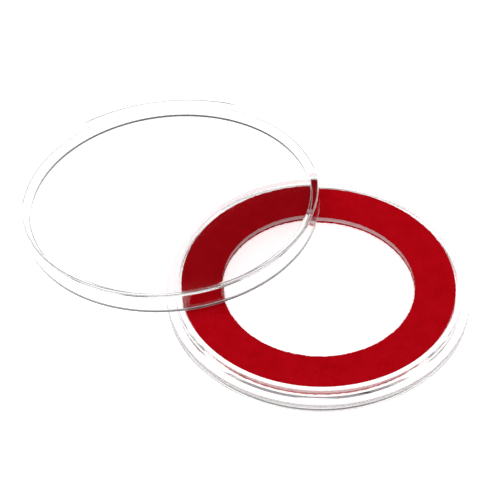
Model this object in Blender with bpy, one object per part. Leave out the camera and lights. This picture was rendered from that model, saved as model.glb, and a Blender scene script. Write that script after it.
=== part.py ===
"""Ring-type coin capsule, open, with its lid leaning on its base.

Five pieces: a clear moulded base, a clear moulded lid whose skirt slides over the base's wall, and a ring
insert that holds the coin, which is a foam core faced with velour above and below. The base stands at the
origin, +Z is up, and the lid leans on the base's wall from the -X side. Everything here is in metres.
"""
import math

import bmesh
import bpy
from mathutils import Vector

MM = 0.001

# Round pieces
SEGMENTS = 72
FILLET_STEPS = 2
HUB_RADIUS = 12.0 * MM
WELD_DISTANCE = 1.0e-7
SHARP_ANGLE = math.radians(40)

# Coin size, from which the ring insert follows
COIN_DIAMETER = 32.0 * MM
COIN_CLEARANCE = 0.1 * MM

# Base: a flange that the closed lid's skirt stands on, a floor and a wall round the insert
FLANGE_RADIUS = 25.4 * MM
FLANGE_THICKNESS = 1.95 * MM
FLANGE_ROUND = 0.62 * MM
WALL_INNER_RADIUS = 23.2 * MM
WALL_OUTER_RADIUS = 24.05 * MM
WALL_TOP = 4.15 * MM
WALL_ROUND = 0.18 * MM
FLOOR_TOP = 2.0 * MM
FLOOR_FILLET = 0.2 * MM
WALL_FOOT_FILLET = 0.05 * MM

# Ring insert
RING_OUTER_RADIUS = 22.85 * MM
RING_INNER_RADIUS = COIN_DIAMETER / 2 + COIN_CLEARANCE
VELOUR_THICKNESS = 0.36 * MM
CORE_THICKNESS = 0.84 * MM
LAYER_GAP = 0.03 * MM

# Lid: a disc with a skirt that slides over the base's wall and ends flush with the flange
LID_RADIUS = FLANGE_RADIUS
SKIRT_CLEARANCE = 0.06 * MM
LID_HEIGHT = 4.0 * MM
LID_DISC_THICKNESS = 1.3 * MM
LID_CROWN_ROUND = 0.3 * MM
LID_CORNER_FILLET = 0.1 * MM
SKIRT_ROUND = 0.15 * MM

# How the lid leans: its centre stands this far from the base's, with one edge on the table
LID_OFFSET = 30.92 * MM
CONTACT_GAP = 0.04 * MM
TABLE_GAP = 0.02 * MM

CLEAR_PLASTIC = (0.93, 0.95, 0.96)
RED_VELOUR = (0.33, 0.006, 0.014)
WHITE_FOAM = (0.86, 0.72, 0.72)


def clear_scene():
    for obj in list(bpy.data.objects):
        bpy.data.objects.remove(obj)


def principled(name, colour, roughness, alpha=1.0, sheen=0.0):
    """A material with the piece's colour, roughness and transparency."""
    material = bpy.data.materials.new(name)
    material.use_nodes = True
    shader = material.node_tree.nodes["Principled BSDF"]
    shader.inputs["Base Color"].default_value = (*colour, 1.0)
    shader.inputs["Roughness"].default_value = roughness
    shader.inputs["Metallic"].default_value = 0.0
    shader.inputs["Alpha"].default_value = alpha
    shader.inputs["Sheen Weight"].default_value = sheen
    return material


def corner_arc(before, corner, after, radius):
    """The points of a fillet between two straight stretches of an outline."""
    to_before = (before - corner).normalized()
    to_after = (after - corner).normalized()
    half_angle = to_before.angle(to_after) / 2
    bisector = (to_before + to_after).normalized()
    centre = corner + bisector * (radius / math.sin(half_angle))
    tangent = radius / math.tan(half_angle)
    first = corner + to_before * tangent - centre
    last = corner + to_after * tangent - centre
    start = math.atan2(first.y, first.x)
    sweep = math.atan2(first.x * last.y - first.y * last.x, first.dot(last))
    angles = [start + sweep * step / FILLET_STEPS for step in range(FILLET_STEPS + 1)]
    return [centre + Vector((math.cos(angle), math.sin(angle))) * radius for angle in angles]


def rounded_outline(corners):
    """Outline points (radius, height) from corners (radius, height, fillet); a fillet of 0 stays sharp."""
    places = [Vector(corner[:2]) for corner in corners]
    points = []
    for index, (_, _, fillet) in enumerate(corners):
        if fillet > 0:
            before = places[index - 1]
            after = places[(index + 1) % len(places)]
            points += corner_arc(before, places[index], after, fillet)
        else:
            points.append(places[index])
    return points


def turned_solid(name, corners, material, is_ring=False):
    """A solid turned about Z. A ring's outline closes on itself, and a disc's two ends are filled flat."""
    mesh = bmesh.new()
    verts = [mesh.verts.new((point.x, 0.0, point.y)) for point in rounded_outline(corners)]
    pairs = list(zip(verts, verts[1:]))
    if is_ring:
        pairs.append((verts[-1], verts[0]))
    edges = [mesh.edges.new(pair) for pair in pairs]
    bmesh.ops.spin(
        mesh,
        geom=verts + edges,
        cent=(0.0, 0.0, 0.0),
        axis=(0.0, 0.0, 1.0),
        angle=2 * math.pi,
        steps=SEGMENTS,
        use_merge=True,
    )
    bmesh.ops.remove_doubles(mesh, verts=mesh.verts, dist=WELD_DISTANCE)
    rims = [edge for edge in mesh.edges if edge.is_boundary]
    bmesh.ops.holes_fill(mesh, edges=rims, sides=0)
    bmesh.ops.recalc_face_normals(mesh, faces=mesh.faces)
    data = bpy.data.meshes.new(name)
    mesh.to_mesh(data)
    mesh.free()
    data.shade_smooth()
    data.set_sharp_from_angle(angle=SHARP_ANGLE)
    data.materials.append(material)
    obj = bpy.data.objects.new(name, data)
    bpy.context.scene.collection.objects.link(obj)
    return obj


def add_pivot(name, location, rotation=(0.0, 0.0, 0.0)):
    """An empty that carries one moving body."""
    pivot = bpy.data.objects.new(name, None)
    pivot.location = location
    pivot.rotation_euler = rotation
    bpy.context.scene.collection.objects.link(pivot)
    return pivot


def build_base(clear):
    """The base: flange, floor and wall in one moulding, standing on its flat underside."""
    return turned_solid(
        "base_shell",
        [
            (HUB_RADIUS, 0.0, 0.0),
            (FLANGE_RADIUS, 0.0, FLANGE_ROUND),
            (FLANGE_RADIUS, FLANGE_THICKNESS, FLANGE_ROUND),
            (WALL_OUTER_RADIUS, FLANGE_THICKNESS, WALL_FOOT_FILLET),
            (WALL_OUTER_RADIUS, WALL_TOP, WALL_ROUND),
            (WALL_INNER_RADIUS, WALL_TOP, WALL_ROUND),
            (WALL_INNER_RADIUS, FLOOR_TOP, FLOOR_FILLET),
            (HUB_RADIUS, FLOOR_TOP, 0.0),
        ],
        clear,
    )


def ring_layer(name, bottom, thickness, material):
    """One flat layer of the ring insert, die-cut to the same two circles as the others."""
    top = bottom + thickness
    corners = [
        (RING_INNER_RADIUS, bottom, 0.0),
        (RING_OUTER_RADIUS, bottom, 0.0),
        (RING_OUTER_RADIUS, top, 0.0),
        (RING_INNER_RADIUS, top, 0.0),
    ]
    return turned_solid(name, corners, material, is_ring=True)


def build_ring(velour, foam):
    """The insert: velour, foam core and velour in a stack that lies on the base's floor and turns about Z."""
    pivot = add_pivot("ring_pivot", (0.0, 0.0, FLOOR_TOP + LAYER_GAP))
    layers = [
        ("ring_velour_bottom", VELOUR_THICKNESS, velour),
        ("ring_foam_core", CORE_THICKNESS, foam),
        ("ring_velour_top", VELOUR_THICKNESS, velour),
    ]
    height = 0.0
    for name, thickness, material in layers:
        layer = ring_layer(name, height, thickness, material)
        layer.parent = pivot
        height += thickness + LAYER_GAP


def lean_angle():
    """The lid's tilt, from the height at which its skirt crosses the top of the base's wall.

    Seen from above, the skirt's inner edge crosses the wall's outer edge at two points, and crossing is
    their distance from the lid's centre towards the base. The lid pivots on the edge that stands on the table.
    """
    skirt_inner = WALL_OUTER_RADIUS + SKIRT_CLEARANCE
    crossing = (LID_OFFSET**2 + skirt_inner**2 - WALL_OUTER_RADIUS**2) / (2 * LID_OFFSET)
    return math.asin((WALL_TOP + CONTACT_GAP) / (LID_RADIUS + crossing))


def build_lid(clear):
    """The lid, disc up, modelled about its own axis from the skirt's edge and placed by its pivot."""
    skirt_inner = WALL_OUTER_RADIUS + SKIRT_CLEARANCE
    disc_underside = LID_HEIGHT - LID_DISC_THICKNESS
    lid = turned_solid(
        "lid_shell",
        [
            (HUB_RADIUS, LID_HEIGHT, 0.0),
            (LID_RADIUS, LID_HEIGHT, LID_CROWN_ROUND),
            (LID_RADIUS, 0.0, SKIRT_ROUND),
            (skirt_inner, 0.0, SKIRT_ROUND),
            (skirt_inner, disc_underside, LID_CORNER_FILLET),
            (HUB_RADIUS, disc_underside, 0.0),
        ],
        clear,
    )
    lean = lean_angle()
    centre_height = LID_RADIUS * math.sin(lean) + TABLE_GAP
    lid.parent = add_pivot("lid_pivot", (-LID_OFFSET, 0.0, centre_height), (0.0, -lean, 0.0))


def build_capsule():
    clear = principled("clear_plastic", CLEAR_PLASTIC, 0.05, alpha=0.25)
    velour = principled("red_velour", RED_VELOUR, 0.95, sheen=0.6)
    foam = principled("white_foam", WHITE_FOAM, 0.85)
    build_base(clear)
    build_ring(velour, foam)
    build_lid(clear)


clear_scene()
build_capsule()
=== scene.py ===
import math

import bmesh
import bpy
import numpy as np
from mathutils import Matrix, Vector


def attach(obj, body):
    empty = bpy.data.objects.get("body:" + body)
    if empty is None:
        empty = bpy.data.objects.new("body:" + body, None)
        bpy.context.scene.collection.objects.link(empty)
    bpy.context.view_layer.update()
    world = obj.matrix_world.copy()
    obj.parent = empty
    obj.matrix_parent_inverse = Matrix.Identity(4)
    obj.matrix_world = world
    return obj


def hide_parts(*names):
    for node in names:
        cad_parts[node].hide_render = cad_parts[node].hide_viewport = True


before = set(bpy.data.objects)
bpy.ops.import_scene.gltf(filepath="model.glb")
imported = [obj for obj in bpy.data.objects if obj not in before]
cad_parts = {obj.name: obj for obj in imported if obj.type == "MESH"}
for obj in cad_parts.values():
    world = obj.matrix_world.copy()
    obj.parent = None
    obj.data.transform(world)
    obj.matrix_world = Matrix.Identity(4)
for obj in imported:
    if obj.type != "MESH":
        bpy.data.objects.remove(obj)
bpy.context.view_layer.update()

MM = 0.001

# ---------------------------------------------------------------- what the CAD parts say

WELD_DISTANCE = 0.002 * MM


class TurnedNode:
    """A CAD node that is turned about an axis: where the axis is, and what radii and heights it has."""

    def __init__(self, name):
        copy = bmesh.new()
        copy.from_mesh(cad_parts[name].data)
        bmesh.ops.remove_doubles(copy, verts=copy.verts, dist=WELD_DISTANCE)
        places = np.array([vertex.co for vertex in copy.verts])
        copy.free()
        middle = places.mean(axis=0)
        axis = np.linalg.svd(places - middle)[2][2]
        self.axis = axis if axis[2] > 0 else -axis
        along = (places - middle) @ self.axis
        self.foot = middle + self.axis * along.min()
        self.heights = along - along.min()
        self.radii = np.linalg.norm(places - self.foot - np.outer(self.heights, self.axis), axis=1)
        self.height = float(self.heights.max())
        self.outer = float(self.radii.max())
        self.inner = float(self.radii.min())
        self.inner_ledge = float(self.heights[self.radii.argmin()])

    def placement(self):
        """The matrix that takes a piece turned about its own Z axis, from its foot up, to the node's place."""
        turn = Vector((0.0, 0.0, 1.0)).rotation_difference(Vector(self.axis))
        return Matrix.Translation(Vector(self.foot)) @ turn.to_matrix().to_4x4()

    def radii_between(self, low, high):
        """(smallest, largest) radius among the points between two heights."""
        chosen = self.radii[(self.heights > low) & (self.heights < high)]
        return float(chosen.min()), float(chosen.max())

    def top_beyond(self, radius):
        """Height of the highest point outside a radius."""
        return float(self.heights[self.radii > radius].max())


base = TurnedNode("base_shell")
lid = TurnedNode("lid_shell")
core = TurnedNode("ring_foam_core")
velour_top = TurnedNode("ring_velour_top")
velour_bottom = TurnedNode("ring_velour_bottom")

FLOOR_TOP = base.inner_ledge
WALL_INNER, WALL_OUTER = base.radii_between(1.2 * FLOOR_TOP, math.inf)
FLANGE_TOP = base.top_beyond((WALL_OUTER + base.outer) / 2)
DISC_UNDERSIDE = lid.inner_ledge
SKIRT_INNER, _ = lid.radii_between(0.1 * MM, 0.95 * DISC_UNDERSIDE)

# ---------------------------------------------------------------- mesh helpers

SHELL_SEGMENTS = 360
FILLET_STEPS = 8
SHARP_ANGLE = math.radians(50)


def corner_arc(before, corner, after, radius):
    """The points of a fillet between two straight stretches of an outline."""
    to_before = (before - corner).normalized()
    to_after = (after - corner).normalized()
    half_angle = to_before.angle(to_after) / 2
    bisector = (to_before + to_after).normalized()
    centre = corner + bisector * (radius / math.sin(half_angle))
    tangent = radius / math.tan(half_angle)
    first = corner + to_before * tangent - centre
    last = corner + to_after * tangent - centre
    start = math.atan2(first.y, first.x)
    sweep = math.atan2(first.x * last.y - first.y * last.x, first.dot(last))
    angles = [start + sweep * step / FILLET_STEPS for step in range(FILLET_STEPS + 1)]
    return [centre + Vector((math.cos(angle), math.sin(angle))) * radius for angle in angles]


def rounded_outline(corners):
    """Outline points (radius, height) from corners (radius, height, fillet); a fillet of 0 stays sharp."""
    places = [Vector(corner[:2]) for corner in corners]
    points = []
    for index, (_, _, fillet) in enumerate(corners):
        if fillet > 0:
            before = places[index - 1]
            after = places[(index + 1) % len(places)]
            points += corner_arc(before, places[index], after, fillet)
        else:
            points.append(places[index])
    return points


def add_object(name, points, faces, material, body, placement):
    """A smooth-shaded mesh piece that rides on a body."""
    data = bpy.data.meshes.new(name)
    data.from_pydata(points, [], faces)
    tidy = bmesh.new()
    tidy.from_mesh(data)
    bmesh.ops.recalc_face_normals(tidy, faces=tidy.faces)
    tidy.to_mesh(data)
    tidy.free()
    data.shade_smooth()
    data.set_sharp_from_angle(angle=SHARP_ANGLE)
    data.materials.append(material)
    piece = bpy.data.objects.new(name, data)
    bpy.context.scene.collection.objects.link(piece)
    piece.matrix_world = placement
    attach(piece, body)
    return piece


def turned_disc(name, corners, material, body, placement):
    """A disc-like solid turned about Z: its outline starts and ends on the axis."""
    outline = rounded_outline(corners)
    angles = [2 * math.pi * step / SHELL_SEGMENTS for step in range(SHELL_SEGMENTS)]
    points = [(0.0, 0.0, outline[0].y)]
    for place in outline:
        points += [(place.x * math.cos(angle), place.x * math.sin(angle), place.y) for angle in angles]
    points.append((0.0, 0.0, outline[-1].y))
    faces = []
    last_row = 1 + (len(outline) - 1) * SHELL_SEGMENTS
    for step in range(SHELL_SEGMENTS):
        after = (step + 1) % SHELL_SEGMENTS
        faces.append((0, 1 + step, 1 + after))
        faces.append((len(points) - 1, last_row + after, last_row + step))
        for row in range(len(outline) - 1):
            here = 1 + row * SHELL_SEGMENTS
            above = here + SHELL_SEGMENTS
            faces.append((here + step, here + after, above + after, above + step))
    return add_object(name, points, faces, material, body, placement)


# ---------------------------------------------------------------- materials


def new_material(name):
    """A node material, with its nodes and links."""
    material = bpy.data.materials.new(name)
    material.use_nodes = True
    return material, material.node_tree.nodes, material.node_tree.links


def add_noise(nodes, links, coordinates, scale, detail=4.0, roughness=0.55):
    """A noise value between 0 and 1, at a scale in features per metre."""
    noise = nodes.new("ShaderNodeTexNoise")
    noise.inputs["Scale"].default_value = scale
    noise.inputs["Detail"].default_value = detail
    noise.inputs["Roughness"].default_value = roughness
    links.new(coordinates, noise.inputs["Vector"])
    return noise.outputs["Fac"]


def add_ramp(nodes, links, factor, stops):
    """A colour ramp from (position, colour) stops."""
    ramp = nodes.new("ShaderNodeValToRGB")
    elements = ramp.color_ramp.elements
    while len(elements) < len(stops):
        elements.new(0.5)
    for element, (position, colour) in zip(elements, stops):
        element.position = position
        element.color = (*colour, 1.0)
    links.new(factor, ramp.inputs["Fac"])
    return ramp.outputs["Color"]


CLEAR_IOR = 1.49
SMUDGE_SCALE = 90.0
SMUDGE_ROUGHNESS = 0.012
SMUDGE_START = 0.58
SMUDGE_FULL = 0.75
LID_DENSITY = 7.0
BASE_DENSITY = 1.5

SHEEN_PATCH_SCALE = 320.0
TUFT_SCALE = 3600.0
PILE_SCALE = 9000.0
PILE_RELIEF = 0.05 * MM
# Painted light: the ground tones are darker than the pile tones, as shade down among the fibres and light on
# their tips.
GROUND_SHADE_DARK = (0.60, 0.0012, 0.005)
GROUND_SHADE_LIGHT = (0.76, 0.004, 0.014)
PILE_LIT_DARK = (0.66, 0.002, 0.009)
PILE_LIT_LIGHT = (0.86, 0.010, 0.028)
GROUND_SHEEN = (0.8, 0.06, 0.09, 1.0)
PILE_SHEEN = (0.9, 0.1, 0.14, 1.0)

CELL_SCALE = 5200.0
CELL_RELIEF = 0.04 * MM
# Painted light: the pink is red light bounced from the velour, and the deeper pink in the sunken cell borders is
# painted shade.
FOAM_BOUNCE_PINK = (1.0, 0.68, 0.69)
FOAM_HOLLOW_SHADE_PINK = (1.0, 0.53, 0.55)


def distance_to_ring(nodes, links, place, radius, height):
    """How far a point is from the circle of this radius and height about the piece's own axis."""
    split = nodes.new("ShaderNodeSeparateXYZ")
    links.new(place, split.inputs[0])
    flat = nodes.new("ShaderNodeCombineXYZ")
    links.new(split.outputs["X"], flat.inputs["X"])
    links.new(split.outputs["Y"], flat.inputs["Y"])
    from_axis = nodes.new("ShaderNodeVectorMath")
    from_axis.operation = "LENGTH"
    links.new(flat.outputs[0], from_axis.inputs[0])
    profile = nodes.new("ShaderNodeCombineXYZ")
    links.new(from_axis.outputs["Value"], profile.inputs["X"])
    links.new(split.outputs["Z"], profile.inputs["Y"])
    gap = nodes.new("ShaderNodeVectorMath")
    gap.operation = "DISTANCE"
    gap.inputs[1].default_value = (radius, height, 0.0)
    links.new(profile.outputs[0], gap.inputs[0])
    return gap.outputs["Value"]


def clear_plastic(name, edges, density):
    """Polished clear plastic with a little absorption and faint smudges, with painted shade lines along its
    rounded edges.

    An edge is (radius, height, width, tone): the painted shade tone of the colour on the edge, which rises to 1
    at that width from it.
    """
    material, nodes, links = new_material(name)
    shader = nodes["Principled BSDF"]
    place = nodes.new("ShaderNodeTexCoord").outputs["Object"]
    painted_line_tone = None
    # Painted shade lines: each edge darkens the plastic's colour in a thin band, standing in for the dark
    # surroundings seen through the rounded edges.
    for radius, height, width, least in edges:
        fade = nodes.new("ShaderNodeMapRange")
        fade.interpolation_type = "SMOOTHSTEP"
        fade.inputs["From Max"].default_value = width
        fade.inputs["To Min"].default_value = least
        fade.inputs["To Max"].default_value = 1.0
        links.new(distance_to_ring(nodes, links, place, radius, height), fade.inputs["Value"])
        if painted_line_tone is None:
            painted_line_tone = fade.outputs["Result"]
        else:
            both = nodes.new("ShaderNodeMath")
            both.operation = "MULTIPLY"
            links.new(painted_line_tone, both.inputs[0])
            links.new(fade.outputs["Result"], both.inputs[1])
            painted_line_tone = both.outputs[0]
    links.new(painted_line_tone, shader.inputs["Base Color"])
    shader.inputs["Transmission Weight"].default_value = 1.0
    shader.inputs["IOR"].default_value = CLEAR_IOR
    smudges = add_noise(nodes, links, place, SMUDGE_SCALE, 3.0)
    polish = nodes.new("ShaderNodeMapRange")
    polish.inputs["From Min"].default_value = SMUDGE_START
    polish.inputs["From Max"].default_value = SMUDGE_FULL
    polish.inputs["To Max"].default_value = SMUDGE_ROUGHNESS
    links.new(smudges, polish.inputs["Value"])
    links.new(polish.outputs["Result"], shader.inputs["Roughness"])
    absorption = nodes.new("ShaderNodeVolumeAbsorption")
    absorption.inputs["Color"].default_value = (0.0, 0.0, 0.0, 1.0)
    absorption.inputs["Density"].default_value = density
    links.new(absorption.outputs["Volume"], nodes["Material Output"].inputs["Volume"])
    return material


def velour_colour(nodes, links, place, dark, light):
    """Deep red that drifts between two tones in patches of painted sheen, as where the pile lies different ways,
    with a fine grain of single tufts over them.
    """
    # Painted sheen: the slow patches lighten and darken the red as pile lying different ways would catch the
    # light.
    patches = add_noise(nodes, links, place, SHEEN_PATCH_SCALE, 4.0)
    tufts = add_noise(nodes, links, place, TUFT_SCALE, 2.0, 0.7)
    both = nodes.new("ShaderNodeMix")
    both.inputs["Factor"].default_value = 0.6
    links.new(patches, both.inputs["A"])
    links.new(tufts, both.inputs["B"])
    return add_ramp(nodes, links, both.outputs["Result"], [(0.35, dark), (0.65, light)])


def red_velour():
    """The ground of the velour under its pile, painted darker than the pile as shade down among the fibres."""
    material, nodes, links = new_material("red_velour")
    shader = nodes["Principled BSDF"]
    place = nodes.new("ShaderNodeTexCoord").outputs["Object"]
    links.new(velour_colour(nodes, links, place, GROUND_SHADE_DARK, GROUND_SHADE_LIGHT), shader.inputs["Base Color"])
    shader.inputs["Roughness"].default_value = 1.0
    shader.inputs["Specular IOR Level"].default_value = 0.0
    shader.inputs["Sheen Weight"].default_value = 0.12
    shader.inputs["Sheen Tint"].default_value = GROUND_SHEEN
    shader.inputs["Sheen Roughness"].default_value = 0.5
    pile = add_noise(nodes, links, place, PILE_SCALE, 2.0)
    bump = nodes.new("ShaderNodeBump")
    bump.inputs["Strength"].default_value = 0.5
    bump.inputs["Distance"].default_value = PILE_RELIEF
    links.new(pile, bump.inputs["Height"])
    links.new(bump.outputs["Normal"], shader.inputs["Normal"])
    return material


def velour_pile():
    """Single fibres: painted a little lighter than the ground, as light catching the pile tips, with a faint
    satin sheen.
    """
    material, nodes, links = new_material("velour_pile")
    shader = nodes["Principled BSDF"]
    place = nodes.new("ShaderNodeTexCoord").outputs["Object"]
    links.new(velour_colour(nodes, links, place, PILE_LIT_DARK, PILE_LIT_LIGHT), shader.inputs["Base Color"])
    shader.inputs["Roughness"].default_value = 0.8
    shader.inputs["Specular IOR Level"].default_value = 0.1
    shader.inputs["Sheen Weight"].default_value = 0.1
    shader.inputs["Sheen Tint"].default_value = PILE_SHEEN
    return material


def white_foam():
    """Thin closed-cell foam, white, with red light bounced from the velour beside it painted in as pink, and
    deeper pink painted shade in its sunken cell borders.
    """
    material, nodes, links = new_material("white_foam")
    shader = nodes["Principled BSDF"]
    place = nodes.new("ShaderNodeTexCoord").outputs["Object"]
    cells = nodes.new("ShaderNodeTexVoronoi")
    cells.inputs["Scale"].default_value = CELL_SCALE
    links.new(place, cells.inputs["Vector"])
    colour = add_ramp(nodes, links, cells.outputs["Distance"], [(0.1, FOAM_BOUNCE_PINK), (0.75, FOAM_HOLLOW_SHADE_PINK)])
    links.new(colour, shader.inputs["Base Color"])
    shader.inputs["Roughness"].default_value = 0.9
    shader.inputs["Specular IOR Level"].default_value = 0.1
    bump = nodes.new("ShaderNodeBump")
    bump.inputs["Strength"].default_value = 0.3
    bump.inputs["Distance"].default_value = CELL_RELIEF
    bump.invert = True
    links.new(cells.outputs["Distance"], bump.inputs["Height"])
    links.new(bump.outputs["Normal"], shader.inputs["Normal"])
    return material


# ---------------------------------------------------------------- camera

VIEW_AZIMUTH = math.radians(36.02)
VIEW_ELEVATION = math.radians(45.79)
VIEW_ROLL = math.radians(0.53)
VIEW_DISTANCE = 534.4 * MM
VIEW_LENS = 226.55
VIEW_TARGET = Vector((-15.603, 1.864, 0.793)) * MM


def add_camera():
    """The camera at the photo's viewing angle."""
    data = bpy.data.cameras.new("camera")
    data.lens = VIEW_LENS
    data.clip_start = 0.01
    camera = bpy.data.objects.new("camera", data)
    bpy.context.scene.collection.objects.link(camera)
    level = math.cos(VIEW_ELEVATION)
    back = Vector((math.sin(VIEW_AZIMUTH) * level, -math.cos(VIEW_AZIMUTH) * level, math.sin(VIEW_ELEVATION)))
    look = back.to_track_quat("Z", "Y").to_matrix().to_4x4()
    roll = Matrix.Rotation(VIEW_ROLL, 4, "Z")
    camera.matrix_world = Matrix.Translation(VIEW_TARGET + back * VIEW_DISTANCE) @ look @ roll
    bpy.context.scene.camera = camera


# ---------------------------------------------------------------- studio

SOFTBOX = 0.92
SOFTBOX_ELEVATION = math.radians(76)
SOFTBOX_CORE = math.radians(40)
SOFTBOX_EDGE = math.radians(52)
DIM_STUDIO = 0.28
BLACK_FLAG = 0.01
FLAG_AZIMUTH = VIEW_AZIMUTH + math.radians(188)
FLAG_ELEVATION = math.radians(38)
FLAG_CORE = math.radians(5)
FLAG_EDGE = math.radians(9)
LIGHT_TABLE = 0.92
LIGHT_BOUNCES = 64
TABLE_WHITE = (0.9, 0.9, 0.9, 1.0)
TABLE_HALF = 2.0
TABLE_DROP = 0.02 * MM


def sky_zone(nodes, links, azimuth, elevation, core, edge):
    """A round zone of the surroundings: its map range goes from the edge (From Min) to the core (From Max)."""
    toward = nodes.new("ShaderNodeVectorMath")
    toward.operation = "DOT_PRODUCT"
    links.new(nodes.new("ShaderNodeTexCoord").outputs["Generated"], toward.inputs[0])
    level = math.cos(elevation)
    toward.inputs[1].default_value = (math.sin(azimuth) * level, -math.cos(azimuth) * level, math.sin(elevation))
    zone = nodes.new("ShaderNodeMapRange")
    zone.interpolation_type = "SMOOTHSTEP"
    zone.inputs["From Min"].default_value = math.cos(edge)
    zone.inputs["From Max"].default_value = math.cos(core)
    links.new(toward.outputs["Value"], zone.inputs["Value"])
    return zone


def add_surroundings():
    """A dim studio with a softbox above the photo's side and a small black flag on the far side.

    The flag stands where the lid mirrors the far side towards the photo's viewpoint, and keeps haze off the lid.
    """
    scene = bpy.context.scene
    scene.view_settings.view_transform = "Standard"
    scene.cycles.max_bounces = LIGHT_BOUNCES
    scene.cycles.transmission_bounces = LIGHT_BOUNCES
    scene.cycles.glossy_bounces = LIGHT_BOUNCES
    world = bpy.data.worlds.new("studio")
    world.use_nodes = True
    scene.world = world
    nodes, links = world.node_tree.nodes, world.node_tree.links
    glow = sky_zone(nodes, links, VIEW_AZIMUTH, SOFTBOX_ELEVATION, SOFTBOX_CORE, SOFTBOX_EDGE)
    glow.inputs["To Max"].default_value = SOFTBOX
    flag = sky_zone(nodes, links, FLAG_AZIMUTH, FLAG_ELEVATION, FLAG_CORE, FLAG_EDGE)
    flag.inputs["To Min"].default_value = DIM_STUDIO
    flag.inputs["To Max"].default_value = BLACK_FLAG
    links.new(flag.outputs["Result"], glow.inputs["To Min"])
    links.new(glow.outputs["Result"], nodes["Background"].inputs["Strength"])
    nodes["Background"].inputs["Color"].default_value = (1.0, 1.0, 1.0, 1.0)


def add_light_table():
    """The white table, lit from inside, that the capsule stands on."""
    material, nodes, _ = new_material("table_white")
    shader = nodes["Principled BSDF"]
    shader.inputs["Base Color"].default_value = TABLE_WHITE
    shader.inputs["Roughness"].default_value = 0.7
    shader.inputs["Emission Color"].default_value = (1.0, 1.0, 1.0, 1.0)
    shader.inputs["Emission Strength"].default_value = LIGHT_TABLE
    corners = [(x * TABLE_HALF, y * TABLE_HALF, 0.0) for x, y in ((-1, -1), (1, -1), (1, 1), (-1, 1))]
    data = bpy.data.meshes.new("table")
    data.from_pydata(corners, [], [(0, 1, 2, 3)])
    data.materials.append(material)
    table = bpy.data.objects.new("table", data)
    table.location.z = -TABLE_DROP
    bpy.context.scene.collection.objects.link(table)


# ---------------------------------------------------------------- pieces

FLANGE_ROUND = 0.62 * MM
WALL_ROUND = 0.18 * MM
FLOOR_FILLET = 0.2 * MM
WALL_FOOT_FILLET = 0.05 * MM
LID_CROWN_ROUND = 0.3 * MM
LID_CORNER_FILLET = 0.1 * MM
SKIRT_ROUND = 0.15 * MM
HUB_SHARE = 0.5

# The flank, rim and crown tones are painted shade lines on the clear plastic's colour, standing in for the dark
# surroundings its rounded edges refract.
FLANK_WIDTH = 0.35 * MM
FLANK_PAINTED_SHADE = 0.82
RIM_WIDTH = 0.2 * MM
RIM_PAINTED_SHADE = 0.93
CROWN_INSET = 0.04 * MM
CROWN_DEPTH = 0.15 * MM
CROWN_WIDTH = 0.16 * MM
CROWN_PAINTED_SHADE = 0.85

RING_EDGE_ROUND = 0.1 * MM
RING_SEGMENTS = 720
FACE_ROWS = 14
VELOUR_WANDER = 0.03 * MM
VELOUR_RELIEF = 0.012 * MM
FOAM_WANDER = 0.02 * MM

FIBRE_THICKNESS = 0.045 * MM
TOP_FIBRES = 12000
EDGE_FIBRES = 3000
INNER_FRINGE = 0.45 * MM
OUTER_FRINGE = 0.22 * MM
FRINGE_ROOT_DEPTH = 0.04 * MM
NAP_ROOT_DEPTH = 0.03 * MM
NAP_SHORTEST = 0.1 * MM
NAP_LONGEST = 0.24 * MM
NAP_TILT_LIMIT = 1.35
SWIRL_WIDTH = 4 * MM


def make_base():
    """The clear base: flange, floor and wall."""
    flank = (base.outer, FLANGE_TOP / 2, FLANK_WIDTH, FLANK_PAINTED_SHADE)
    rims = [(radius, base.height, RIM_WIDTH, RIM_PAINTED_SHADE) for radius in (WALL_INNER, WALL_OUTER)]
    clear = clear_plastic("clear_base_plastic", [flank, *rims], BASE_DENSITY)
    corners = [
        (HUB_SHARE * base.outer, 0.0, 0.0),
        (base.outer, 0.0, FLANGE_ROUND),
        (base.outer, FLANGE_TOP, FLANGE_ROUND),
        (WALL_OUTER, FLANGE_TOP, WALL_FOOT_FILLET),
        (WALL_OUTER, base.height, WALL_ROUND),
        (WALL_INNER, base.height, WALL_ROUND),
        (WALL_INNER, FLOOR_TOP, FLOOR_FILLET),
        (HUB_SHARE * base.outer, FLOOR_TOP, 0.0),
    ]
    piece = turned_disc("clear_base", corners, clear, "base", base.placement())
    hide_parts("base_shell")


def make_lid():
    """The clear lid: a disc with a skirt, turned about its own leaning axis."""
    crown = (lid.outer - CROWN_INSET, lid.height - CROWN_DEPTH, CROWN_WIDTH, CROWN_PAINTED_SHADE)
    clear = clear_plastic("clear_lid_plastic", [crown], LID_DENSITY)
    corners = [
        (HUB_SHARE * lid.outer, lid.height, 0.0),
        (lid.outer, lid.height, LID_CROWN_ROUND),
        (lid.outer, 0.0, SKIRT_ROUND),
        (SKIRT_INNER, 0.0, SKIRT_ROUND),
        (SKIRT_INNER, DISC_UNDERSIDE, LID_CORNER_FILLET),
        (HUB_SHARE * lid.outer, DISC_UNDERSIDE, 0.0),
    ]
    piece = turned_disc("clear_lid", corners, clear, "lid", lid.placement())
    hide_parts("lid_shell")


def smooth_noise(random, count, width):
    """A closed row of random values, smoothed over a few neighbours."""
    values = np.tile(random.normal(0.0, 1.0, count), 3)
    return np.convolve(values, np.ones(width) / width, "same")[count : 2 * count] * math.sqrt(width)


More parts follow.
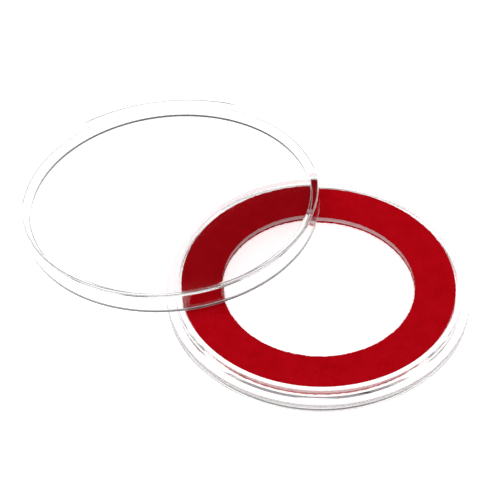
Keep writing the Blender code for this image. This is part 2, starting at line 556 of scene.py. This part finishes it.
def ring_piece(name, node, material, wander, relief, seed):
    """A die-cut ring layer: its cut edges wander a little and its two faces rise and fall."""
    random = np.random.default_rng(seed)
    outline = rounded_outline(
        [
            (node.inner, 0.0, RING_EDGE_ROUND),
            (node.outer, 0.0, RING_EDGE_ROUND),
            (node.outer, node.height, RING_EDGE_ROUND),
            (node.inner, node.height, RING_EDGE_ROUND),
        ]
    )
    across = np.linspace(node.inner + 1.5 * RING_EDGE_ROUND, node.outer - 1.5 * RING_EDGE_ROUND, FACE_ROWS)
    corner = FILLET_STEPS + 1
    outline = (
        outline[:corner]
        + [Vector((radius, 0.0)) for radius in across]
        + outline[corner : 3 * corner]
        + [Vector((radius, node.height)) for radius in across[::-1]]
        + outline[3 * corner :]
    )
    middle = (node.inner + node.outer) / 2
    edge_waves = [smooth_noise(random, RING_SEGMENTS, 3) * wander for _ in range(2)]
    points = []
    for place in outline:
        inside = RING_EDGE_ROUND < place.x - node.inner and RING_EDGE_ROUND < node.outer - place.x
        lift = smooth_noise(random, RING_SEGMENTS, 5) * relief if inside else np.zeros(RING_SEGMENTS)
        shift = np.zeros(RING_SEGMENTS) if inside else edge_waves[0 if place.x < middle else 1]
        toward_core = 1.0 if place.y < node.height / 2 else -1.0
        for step in range(RING_SEGMENTS):
            angle = 2 * math.pi * step / RING_SEGMENTS
            radius = place.x + shift[step]
            height = place.y + toward_core * abs(lift[step])
            points.append((radius * math.cos(angle), radius * math.sin(angle), height))
    faces = []
    rows = len(outline)
    for row in range(rows):
        here = row * RING_SEGMENTS
        above = (row + 1) % rows * RING_SEGMENTS
        for step in range(RING_SEGMENTS):
            after = (step + 1) % RING_SEGMENTS
            faces.append((here + step, here + after, above + after, above + step))
    piece = add_object(name, points, faces, material, "ring", node.placement())
    return piece


def fibres(name, roots, tips, thickness, material, node):
    """Fine tapered fibres, each a slim three-sided spike from its root to its tip."""
    along = tips - roots
    along /= np.linalg.norm(along, axis=1)[:, None]
    helper = np.where(np.abs(along[:, 2:]) < 0.9, (0.0, 0.0, 1.0), (1.0, 0.0, 0.0))
    side = np.cross(along, helper)
    side /= np.linalg.norm(side, axis=1)[:, None]
    other = np.cross(along, side)
    points = []
    for corner in range(3):
        turn = 2 * math.pi * corner / 3
        points.append(roots + (side * math.cos(turn) + other * math.sin(turn)) * thickness / 2)
    points = np.stack([*points, tips], axis=1).reshape(-1, 3)
    faces = []
    for first in range(0, len(points), 4):
        faces += [
            (first, first + 2, first + 1),
            (first, first + 1, first + 3),
            (first + 1, first + 2, first + 3),
            (first + 2, first, first + 3),
        ]
    piece = add_object(name, points.tolist(), faces, material, "ring", node.placement())
    return piece


def spun(radius, angle, height):
    """Points from radii, angles and heights about the Z axis."""
    return np.stack([radius * np.cos(angle), radius * np.sin(angle), height], axis=1)


def edge_fringe(random, node, count, inner_reach, outer_reach):
    """Roots and tips of the fibres that stand out from the two cut edges of a velour ring."""
    roots, tips = [], []
    for radius, outward, reach in ((node.inner, -1.0, inner_reach), (node.outer, 1.0, outer_reach)):
        angle = random.uniform(0.0, 2 * math.pi, count)
        height = random.uniform(0.15, 0.95, count) * node.height
        length = reach * random.beta(1.6, 3.0, count)
        drift = random.normal(0.0, 0.5, count) * length
        rise = random.normal(0.0, 0.35, count) * length
        roots.append(spun(np.full(count, radius - outward * FRINGE_ROOT_DEPTH), angle, height))
        tips.append(spun(radius + outward * length, angle + drift / radius, np.clip(height + rise, 0.0, None)))
    return np.concatenate(roots), np.concatenate(tips)


def top_nap(random, node, count):
    """Roots and tips of the short pile on the face: it leans all ways, mostly along one slow swirl."""
    radius = np.sqrt(random.uniform(node.inner**2, node.outer**2, count))
    angle = random.uniform(0.0, 2 * math.pi, count)
    roots = spun(radius, angle, np.full(count, node.height - NAP_ROOT_DEPTH))
    length = random.uniform(NAP_SHORTEST, NAP_LONGEST, count)
    swirl = angle + 1.2 + 0.5 * np.sin(3 * angle + radius / SWIRL_WIDTH) + random.normal(0.0, 1.1, count)
    tilt = np.clip(random.normal(0.65, 0.3, count), 0.0, NAP_TILT_LIMIT)
    lean = np.stack([np.cos(swirl) * np.sin(tilt), np.sin(swirl) * np.sin(tilt), np.cos(tilt)], axis=1)
    return roots, roots + lean * length[:, None]


def velour_layer(name, node_name, node, materials, seed, nap_count):
    """One velour ring with its fringe, and with nap on its face if that can be seen."""
    face, pile = materials
    layer = ring_piece(name, node, face, VELOUR_WANDER, VELOUR_RELIEF, seed)
    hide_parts(node_name)
    random = np.random.default_rng(seed + 10)
    roots, tips = edge_fringe(random, node, EDGE_FIBRES, INNER_FRINGE, OUTER_FRINGE)
    if nap_count:
        more_roots, more_tips = top_nap(random, node, nap_count)
        roots, tips = np.concatenate([roots, more_roots]), np.concatenate([tips, more_tips])
    nap = fibres(name + "_nap", roots, tips, FIBRE_THICKNESS, pile, node)


def make_ring():
    """The insert: a foam core between two layers of velour."""
    foam = ring_piece("foam_core", core, white_foam(), FOAM_WANDER, 0.0, 3)
    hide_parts("ring_foam_core")
    materials = (red_velour(), velour_pile())
    velour_layer("velour_upper", "ring_velour_top", velour_top, materials, 1, TOP_FIBRES)
    velour_layer("velour_lower", "ring_velour_bottom", velour_bottom, materials, 2, 0)


add_camera()
add_surroundings()
add_light_table()
make_base()
make_lid()
make_ring()
